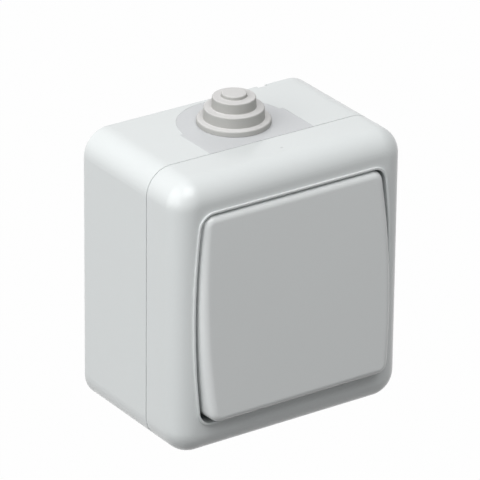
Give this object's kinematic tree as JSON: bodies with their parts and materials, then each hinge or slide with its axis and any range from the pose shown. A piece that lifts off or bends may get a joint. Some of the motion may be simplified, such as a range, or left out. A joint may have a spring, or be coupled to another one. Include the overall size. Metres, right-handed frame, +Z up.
{
  "type": "surface mounted light switch",
  "caption": "Surface mounted light switch: deep box with a soft cable entry on top, rounded cover frame and one large bow-sided rocker that tilts over its contacts.",
  "frame": {"origin": "centre of the back face of the housing, on the wall plane", "axes": "+Z up, +Y into the wall (out of the back face), the rocker faces -Y, +X to the right seen from the front"},
  "size_m": [0.066, 0.0458, 0.0795],
  "materials": {
    "housing": "moulded, satin gloss, light grey-white",
    "rocker": "moulded, fine matt grain, light grey-white",
    "entry_plate": "moulded, slightly darker grey",
    "grommet": "soft grey rubber",
    "seal": "dark soft rubber",
    "insulator": "ivory moulding",
    "bridge": "light grey moulding",
    "brass": "stamped and turned brass",
    "silver": "polished silver contact",
    "screw_steel": "zinc plated steel",
    "spring_steel": "drawn spring wire"
  },
  "bodies": {
    "housing": {"base_box": "housing", "entry_plate": "entry_plate", "cable_grommet": "grommet", "box_seal": "seal", "cover_frame": "housing", "cover_screws": "screw_steel", "screw_seals": "seal", "window_seal": "seal", "mechanism_base": "insulator", "mechanism_screws": "screw_steel", "bearing_bridge": "bridge", "fulcrum_strip": "brass", "load_strip": "brass", "fixed_contact": "silver", "line_terminal": "brass", "load_terminal": "brass", "terminal_screws": "screw_steel"},
    "rocker": {"rocker": "rocker", "cradle": "bridge", "plunger_spring": "spring_steel"},
    "plunger": {"plunger": "insulator"},
    "blade": {"contact_blade": "brass", "blade_contact": "silver"}
  },
  "joints": [
    {"name": "rocker_tilt", "type": "hinge", "parent": "housing", "child": "rocker", "pos_m": [0, -0.0342, 0], "axis": [1, 0, 0], "range_deg": [0, 8.6]},
    {"name": "blade_rock", "type": "hinge", "parent": "housing", "child": "blade", "pos_m": [0, -0.0115, 0], "axis": [1, 0, 0], "range_deg": [-12.2, 0.2]},
    {"name": "plunger_slide", "type": "slide", "parent": "rocker", "child": "plunger", "axis": [0, -0.9972, 0.075], "range_m": [0, 0.0008], "stiffness_N_per_m": 200, "springref_m": -0.002, "deforming": ["plunger_spring"]}
  ],
  "couplings": [
    {"joint": "blade_rock", "follows": "rocker_tilt", "ratio": -1.3953}
  ]
}
